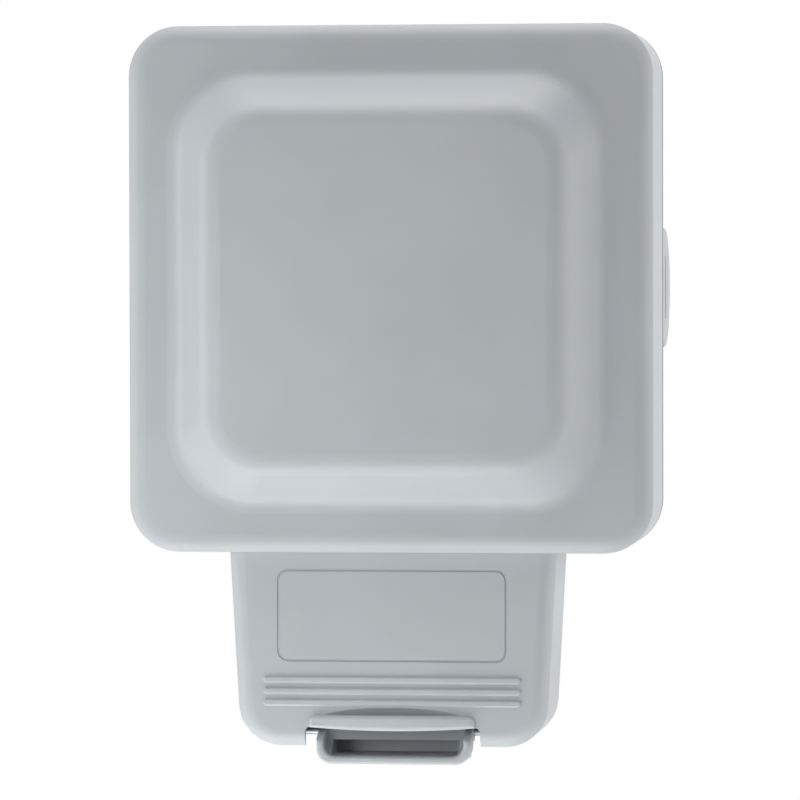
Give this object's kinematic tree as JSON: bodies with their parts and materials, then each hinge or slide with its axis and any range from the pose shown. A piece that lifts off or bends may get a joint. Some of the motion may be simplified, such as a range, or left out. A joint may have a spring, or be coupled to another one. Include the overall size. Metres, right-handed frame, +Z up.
{
  "type": "outdoor weatherproof socket",
  "caption": "Surface-mounted outdoor switched socket in grey plastic, with a sealed top-hinged lid, a flex chin and a sprung finger latch.",
  "frame": {"origin": "centre of the four wall-fixing holes on the back face, which lies on the wall", "axes": "+X to the right when facing the socket, +Y into the wall, +Z up"},
  "size_m": [0.122, 0.081, 0.1715],
  "materials": {
    "lid_plastic": "fine spark texture, satin",
    "grey_plastic": "fine spark texture, satin",
    "plate_plastic": "semi gloss",
    "base_plastic": "plain moulded",
    "seal_rubber": "matt",
    "steel": "plain",
    "brass": "bright"
  },
  "bodies": {
    "enclosure": {"back_box": "grey_plastic", "left_blanking_plug": "grey_plastic", "right_blanking_plug": "grey_plastic", "plug_washers": "seal_rubber", "box_seal": "seal_rubber", "front_frame": "grey_plastic", "frame_screws": "steel", "left_flex_seal": "seal_rubber", "right_flex_seal": "seal_rubber", "left_hinge_pin": "steel", "right_hinge_pin": "steel", "faceplate": "plate_plastic", "faceplate_screws": "steel", "socket_base": "base_plastic", "base_screws": "steel", "neutral_contact": "brass", "line_contact": "brass", "earth_contact": "brass", "terminal_screws": "steel", "switch_leaf": "brass", "switch_post": "brass", "shutter_spring": "steel"},
    "lid": {"lid": "lid_plastic", "lid_seal": "seal_rubber", "latch_pin": "steel", "latch_spring": "steel"},
    "latch": {"latch": "lid_plastic"},
    "rocker": {"switch_rocker": "plate_plastic"},
    "shutter": {"shutter": "base_plastic"}
  },
  "joints": [
    {"name": "lid_hinge", "type": "hinge", "parent": "enclosure", "child": "lid", "pos_m": [0, -0.034, 0.0582], "axis": [-1, 0, 0], "range_deg": [0, 120]},
    {"name": "latch_pivot", "type": "hinge", "parent": "lid", "child": "latch", "pos_m": [0, -0.0544, -0.1034], "axis": [-1, 0, 0], "range_deg": [0, 14], "stiffness_Nm_per_rad": 0.02, "springref_deg": -20.05, "deforming": ["latch_spring"]},
    {"name": "rocker_tilt", "type": "hinge", "parent": "enclosure", "child": "rocker", "pos_m": [0, -0.0431, 0.028], "axis": [1, 0, 0], "range_deg": [0, 14], "deforming": ["switch_leaf"]},
    {"name": "shutter_slide", "type": "slide", "parent": "enclosure", "child": "shutter", "axis": [0, 0, -1], "range_m": [0, 0.0066], "stiffness_N_per_m": 60, "springref_m": -0.004, "deforming": ["shutter_spring"]}
  ]
}
